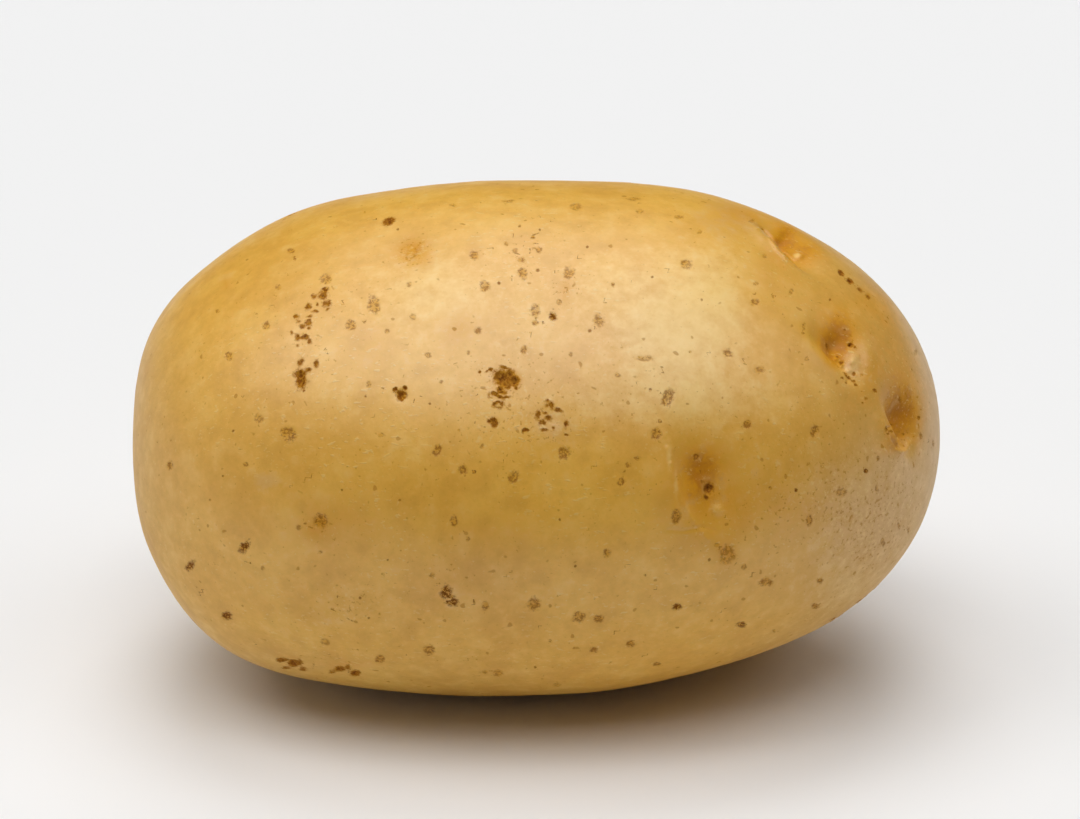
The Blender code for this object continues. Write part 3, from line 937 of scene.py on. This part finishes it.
class Finish:
    """The nodes that make one material or room, round the shader that each starts with."""

    def __init__(self, owner, shader):
        self.owner = owner
        owner.use_nodes = True
        self.nodes = owner.node_tree.nodes
        self.links = owner.node_tree.links
        self.shader = self.nodes[shader]

    def feed(self, socket, value):
        if isinstance(value, Value):
            self.links.new(value.socket, socket)
        else:
            socket.default_value = value

    def shade(self, **values):
        """Feeds the shader's sockets, whose names are given with low lines for spaces."""
        for name, value in values.items():
            self.feed(self.shader.inputs[name.replace("_", " ")], value)

    def node(self, kind, settings=None, values=None, output=0):
        """A node of this kind: its settings first, then its sockets, and the output that is wanted."""
        made = self.nodes.new(kind)
        for name, setting in (settings or {}).items():
            setattr(made, name, setting)
        for name, value in (values or {}).items():
            self.feed(made.inputs[name], value)
        return Value(self, made.outputs[output])

    def step(self, value, start, end):
        """0 before the start, 1 past the end, and an easy slope between."""
        settings = {"interpolation_type": "SMOOTHSTEP"}
        values = {"Value": value, "From Min": start, "From Max": end}
        return self.node("ShaderNodeMapRange", settings, values)

    def noise(self, scale, detail=2.0, roughness=0.5, place=None):
        values = {"Vector": place or self.place, "Scale": scale, "Detail": detail, "Roughness": roughness}
        return self.node("ShaderNodeTexNoise", None, values)

    def vector(self, first, second, third):
        return self.node("ShaderNodeCombineXYZ", None, {0: first, 1: second, 2: third})

    def parts(self, vector):
        """The three numbers of a vector."""
        made = self.node("ShaderNodeSeparateXYZ", None, {0: vector})
        return [Value(self, output) for output in made.socket.node.outputs]

    def largest(self, first, second):
        return self.node("ShaderNodeMath", {"operation": "MAXIMUM"}, {0: first, 1: second})

    def mix(self, share, first, second, blend="MIX"):
        """From the first colour to the second."""
        settings = {"data_type": "RGBA", "blend_type": blend}
        return self.node("ShaderNodeMix", settings, {0: share, 6: first, 7: second}, 2)

    def layer(self, name):
        """The three values of one of the skin's layers."""
        return self.parts(self.node("ShaderNodeAttribute", {"attribute_name": name}, None, "Vector"))


# What each part of the skin gives back of red, green and blue light.
GOLD = (0.800, 0.415, 0.028, 1.0)
OLIVE_GOLD = (0.750, 0.375, 0.022, 1.0)
STRAW = (0.830, 0.480, 0.065, 1.0)
DULL_STRAW = (0.620, 0.420, 0.080, 1.0)
TAN = (0.600, 0.340, 0.080, 1.0)
OCHRE = (0.680, 0.300, 0.014, 1.0)
RUST = (0.420, 0.140, 0.006, 1.0)
CREAM = (0.870, 0.615, 0.200, 1.0)
WORN_PINK = (0.640, 0.370, 0.130, 1.0)
CORK = (0.500, 0.205, 0.020, 1.0)
SPOT_BROWN = (0.230, 0.068, 0.005, 1.0)
SPECK_BROWN = (0.430, 0.180, 0.024, 1.0)
SCAB_BROWN = (0.100, 0.020, 0.001, 1.0)
SCAB_EDGE = (0.450, 0.180, 0.014, 1.0)

# The skin's own gloss, its wax, the depth of its finest dents, and the light that the flesh under it lets
# through: how much, how far, and how the distance differs in red, green and blue.
SKIN_GLOSS, SKIN_ROUGHNESS = 0.04, 0.62
WAX_AMOUNT, WAX_ROUGHNESS, WAX_IOR = 0.95, 0.46, 2.0
DENT_DEPTH = 0.12 * MM
FLESH_GLOW, FLESH_DEPTH, FLESH_TINT = 0.12, 1.4 * MM, (1.0, 0.5, 0.18)


def spot_masks(finish, crumbs, wander):
    """Masks of the corky spots: their strength, soft ground, crumbs of darker cork and thick ring."""
    across, down, held = finish.layer("spot_place")
    strength, clear_ring, seed = finish.layer("spot_looks")
    reach = finish.largest((across * across + down * down) ** 0.5, 0.04)
    ray_place = finish.vector(across / reach * 1.5 + seed, down / reach * 1.5, reach * 0.9)
    rays = finish.noise(1.7, 2.0, 0.6, ray_place)
    radius = reach + (wander - 0.5) * 1.1 + (rays - 0.5) * 0.7
    ground = (1.0 - finish.step(radius, 0.45, 1.20)) * finish.step(held, 0.0, 0.02)
    ring = finish.step(radius, 0.20, 0.60) * (1.0 - finish.step(radius, 0.80, 1.20))
    thick = ring * clear_ring * 0.6 + (1.0 - clear_ring * 0.6)
    cork = crumbs * 1.4 + (rays - 0.5) * 0.5 + thick * 0.14 + strength * 0.12
    return strength, ground, finish.step(cork, 0.79, 0.93), thick


def skin_finish():
    finish = Finish(bpy.data.materials.new("potato_skin"), "Principled BSDF")
    finish.place = finish.node("ShaderNodeTexCoord", None, None, "Object")
    stains_and_shade, pale, worn = finish.layer("skin_tints")
    scabs, speckled, stem = finish.layer("skin_marks")
    along, _, height = finish.parts(finish.place)

    clouds = finish.noise(38.0, 2.0)
    mottle = finish.noise(150.0, 3.0, 0.55)
    freckle = finish.noise(620.0, 3.0, 0.6)
    grain = finish.noise(2300.0, 3.0, 0.6)
    drawn_out = {0: finish.place, 1: (1.0, 2.3, 2.3)}
    stretched = finish.node("ShaderNodeVectorMath", {"operation": "MULTIPLY"}, drawn_out)
    flake = finish.noise(1000.0, 2.0, 0.55, stretched)
    blotch = finish.noise(310.0, 2.0, 0.5)

    # The body colour: gold with slow clouds towards olive and straw, duller at both ends.
    colour = finish.mix(finish.step(clouds, 0.38, 0.62), OLIVE_GOLD, GOLD)
    calm = 1.0 - pale * 0.7
    colour = finish.mix(finish.step(mottle, 0.45, 0.72) * calm * 0.40, colour, STRAW)
    bud_end = finish.step(along + (clouds - 0.5) * 0.03, 0.020, 0.048)
    stem_end = finish.step(0.0 - along + (clouds - 0.5) * 0.02, 0.036, 0.052)
    colour = finish.mix(bud_end * 0.7 + stem_end * 0.6, colour, TAN)
    # Greyer and less red low down towards the stem end: painted reflection of the pale sheet below.
    low = 1.0 - finish.step(height, 0.006, 0.024)
    colour = finish.mix(low * finish.step(along, 0.020, -0.015) * 0.30, colour, DULL_STRAW)

    # Stains and painted shade, worn patches, and pale patches that are partly painted highlight.
    ragged = (mottle - 0.5) * 0.6 + (freckle - 0.5) * 1.2 + (grain - 0.5) * 0.5
    colour = finish.mix(finish.step(stains_and_shade + ragged * 0.7, 0.10, 0.75) * 0.85, colour, OCHRE)
    colour = finish.mix(finish.step(stains_and_shade + ragged * 0.8, 0.60, 1.10) * 0.80, colour, RUST)
    colour = finish.mix(finish.step(worn + ragged * 0.9, 0.15, 0.9) * 0.55, colour, WORN_PINK)
    colour = finish.mix(finish.step(pale + ragged * 0.5, 0.2, 0.9) * 0.6, colour, CREAM)

    # Painted light: brighter from 6 to 40 mm up, a little less so near the top, and brighter on the pale
    # patches' painted highlight. Then fine unevenness, more of brightness than of hue.
    shade = 0.97 + finish.step(height, 0.006, 0.040) * 0.10 - finish.step(height, 0.045, 0.060) * 0.02
    uneven = (mottle - 0.5) * 0.12 + (freckle - 0.5) * 0.20 + (grain - 0.5) * 0.14 + (blotch - 0.5) * 0.16
    shade = shade + uneven * calm + pale * 0.06
    colour = finish.mix(1.0, colour, shade, "MULTIPLY")
    colour = finish.mix(finish.step(blotch, 0.50, 0.75) * calm * 0.16, colour, CREAM)
    colour = finish.mix((1.0 - finish.step(blotch, 0.28, 0.50)) * calm * 0.20, colour, OCHRE)
    colour = finish.mix(finish.step(freckle, 0.54, 0.74) * 0.12, colour, CREAM)
    flake_here = finish.step(finish.noise(75.0, 2.0), 0.38, 0.60)
    flakes = finish.step(flake, 0.62, 0.70) * flake_here
    colour = finish.mix(flakes * 0.48, colour, CREAM)

    # Brown dots: few and far between, and crumbs that crowd in the speckled patches.
    dots = finish.step(finish.noise(1100.0, 0.0), 0.79, 0.86)
    fine = finish.noise(1900.0, 2.0, 0.6)
    specks = finish.step(fine + speckled * 0.14, 0.67, 0.78)
    colour = finish.mix(dots * 0.55, colour, SPECK_BROWN)
    colour = finish.mix(specks * 0.48, colour, SPECK_BROWN)
    colour = finish.mix((1.0 - finish.step(fine - speckled * 0.12, 0.24, 0.36)) * 0.35, colour, CREAM)

    # Corky spots: a soft brownish ground and crumbs of darker cork, thickest in a ring.
    wander = finish.noise(1300.0, 2.0, 0.6)
    crumbs = finish.noise(2700.0, 2.0, 0.65)
    spot_strength, ground, crumbled, thick = spot_masks(finish, crumbs, wander)
    colour = finish.mix(ground * (0.13 + spot_strength * 0.34), colour, CORK)
    brown = crumbled * ground * (0.30 + thick * 0.70) * (0.30 + spot_strength * 0.60)
    colour = finish.mix(brown, colour, SPOT_BROWN)
    worst = finish.step(spot_strength, 0.85, 0.95) * ground * finish.step(crumbs, 0.46, 0.62)
    colour = finish.mix(worst * 0.45, colour, SCAB_BROWN)

    # Scabs: dark scraps with ragged, lighter edges.
    scab_edge = scabs + (crumbs - 0.5) * 0.80 + (wander - 0.5) * 0.40
    scab_ground = finish.step(scab_edge, 0.16, 0.44)
    colour = finish.mix(scab_ground * 0.60, colour, SCAB_EDGE)
    scab = finish.step(scab_edge, 0.38, 0.60)
    colour = finish.mix(scab * (0.36 + finish.step(crumbs, 0.42, 0.58) * 0.36), colour, SPOT_BROWN)
    colour = finish.mix(finish.step(scab_edge, 0.66, 1.04) * 0.75, colour, SCAB_BROWN)

    # The stem scar, corky and brown.
    stem_edge = finish.step(stem + ragged * 0.5, 0.25, 0.85)
    colour = finish.mix(stem_edge * 0.7, colour, CORK)
    colour = finish.mix(finish.step(stem + ragged * 0.6, 0.75, 1.1) * 0.8, colour, SCAB_BROWN)

    # The wax, which shines less on marks, stains and painted shade, and the finest dents.
    dull = ground * (0.30 + spot_strength * 0.40) + brown * 0.3 + scab_ground * 0.45 + scab * 0.45
    dull = dull + worn * 0.15 + stem_edge * 0.6 + finish.step(stains_and_shade, 0.2, 1.0) * 0.85
    dull = dull + (specks + dots) * 0.55
    waxy = WAX_AMOUNT - dull + (freckle - 0.5) * 0.30 + (grain - 0.5) * 0.25 + (blotch - 0.5) * 0.1
    band = finish.step(height, 0.004, 0.018) - finish.step(height, 0.018, 0.042)
    waxy = finish.largest(waxy, 0.0) * (1.0 - band * 0.38)
    waxy = waxy * (1.0 - stem_end * 0.35)
    dents = freckle * 0.65 + grain * 0.40 + mottle * 0.5 + blotch * 0.3 + flakes * 0.7
    dents = dents - ground * crumbled * 0.6 - scab * crumbs * 0.8 - (specks + dots) * 0.3
    bump = {"Height": dents, "Strength": 0.5, "Distance": DENT_DEPTH}
    normal = finish.node("ShaderNodeBump", None, bump)
    roughness = SKIN_ROUGHNESS + (grain - 0.5) * 0.2
    finish.shade(Base_Color=colour, Roughness=roughness, Specular_IOR_Level=SKIN_GLOSS, Normal=normal)
    finish.shade(Coat_Weight=waxy, Coat_Roughness=WAX_ROUGHNESS, Coat_IOR=WAX_IOR)
    finish.shade(Subsurface_Weight=FLESH_GLOW, Subsurface_Scale=FLESH_DEPTH, Subsurface_Radius=FLESH_TINT)
    return finish.owner


def make_floor():
    """A pale sheet that ends a little in front of the potato, below the picture."""
    deselect_all()
    middle = 0.5 * FLOOR_WIDTH - FLOOR_FRONT
    bpy.ops.mesh.primitive_plane_add(size=FLOOR_WIDTH, location=(0, middle, 0))
    floor = bpy.context.active_object
    floor.name = "ground"
    finish = Finish(bpy.data.materials.new("pale_ground"), "Principled BSDF")
    finish.shade(Base_Color=SHEET, Roughness=1.0, Specular_IOR_Level=0.0)
    floor.data.materials.append(finish.owner)


def make_camera(photo):
    data = bpy.data.cameras.new("photo_camera")
    data.lens = LENS
    data.sensor_width = SENSOR
    data.clip_start = 0.01
    data.clip_end = 50.0
    camera = bpy.data.objects.new("photo_camera", data)
    camera.location = photo.eye
    camera.rotation_mode = "QUATERNION"
    camera.rotation_quaternion = (-photo.back).to_track_quat("-Z", "Y")
    bpy.context.scene.collection.objects.link(camera)
    bpy.context.scene.camera = camera


def make_light():
    for strength, front_tilt, side_tilt in SOFTBOXES:
        data = bpy.data.lights.new("softbox", "SUN")
        data.energy = strength
        data.angle = math.radians(SOFTBOX_SPREAD)
        softbox = bpy.data.objects.new("softbox", data)
        side, front = math.radians(side_tilt), math.radians(front_tilt)
        rise = math.cos(side)
        towards = Vector((math.sin(side), -rise * math.sin(front), rise * math.cos(front)))
        softbox.rotation_mode = "QUATERNION"
        softbox.rotation_quaternion = towards.to_track_quat("Z", "Y")
        bpy.context.scene.collection.objects.link(softbox)
    make_room()
    bpy.context.scene.view_settings.view_transform = "Standard"


def make_room():
    """A dark room with a pale wall on the left. The camera sees the pale of the sheet behind it all."""
    room = Finish(bpy.data.worlds.new("pale_room"), "Background")
    direction = room.parts(room.node("ShaderNodeTexCoord", None, None, "Generated"))
    leftwards = room.largest(direction[0] * -1.0, 0.0)
    brightness = {0: leftwards * leftwards, 1: WALL_LIGHT, 2: ROOM_LIGHT}
    room.shade(Color=WHITE, Strength=room.node("ShaderNodeMath", {"operation": "MULTIPLY_ADD"}, brightness))
    backdrop = room.node("ShaderNodeBackground", None, {"Color": WHITE, "Strength": BACKDROP_LIGHT})
    seen = room.node("ShaderNodeLightPath", None, None, "Is Camera Ray")
    surroundings = {0: seen, 1: Value(room, room.shader.outputs[0]), 2: backdrop}
    chooser = room.node("ShaderNodeMixShader", None, surroundings)
    room.feed(room.nodes["World Output"].inputs[0], chooser)
    bpy.context.scene.world = room.owner


photograph = Photograph()
make_camera(photograph)
make_light()
make_floor()
potato_skin = make_skin(photograph)
potato_skin.data.materials.append(skin_finish())
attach(potato_skin, "root")
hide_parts("potato")
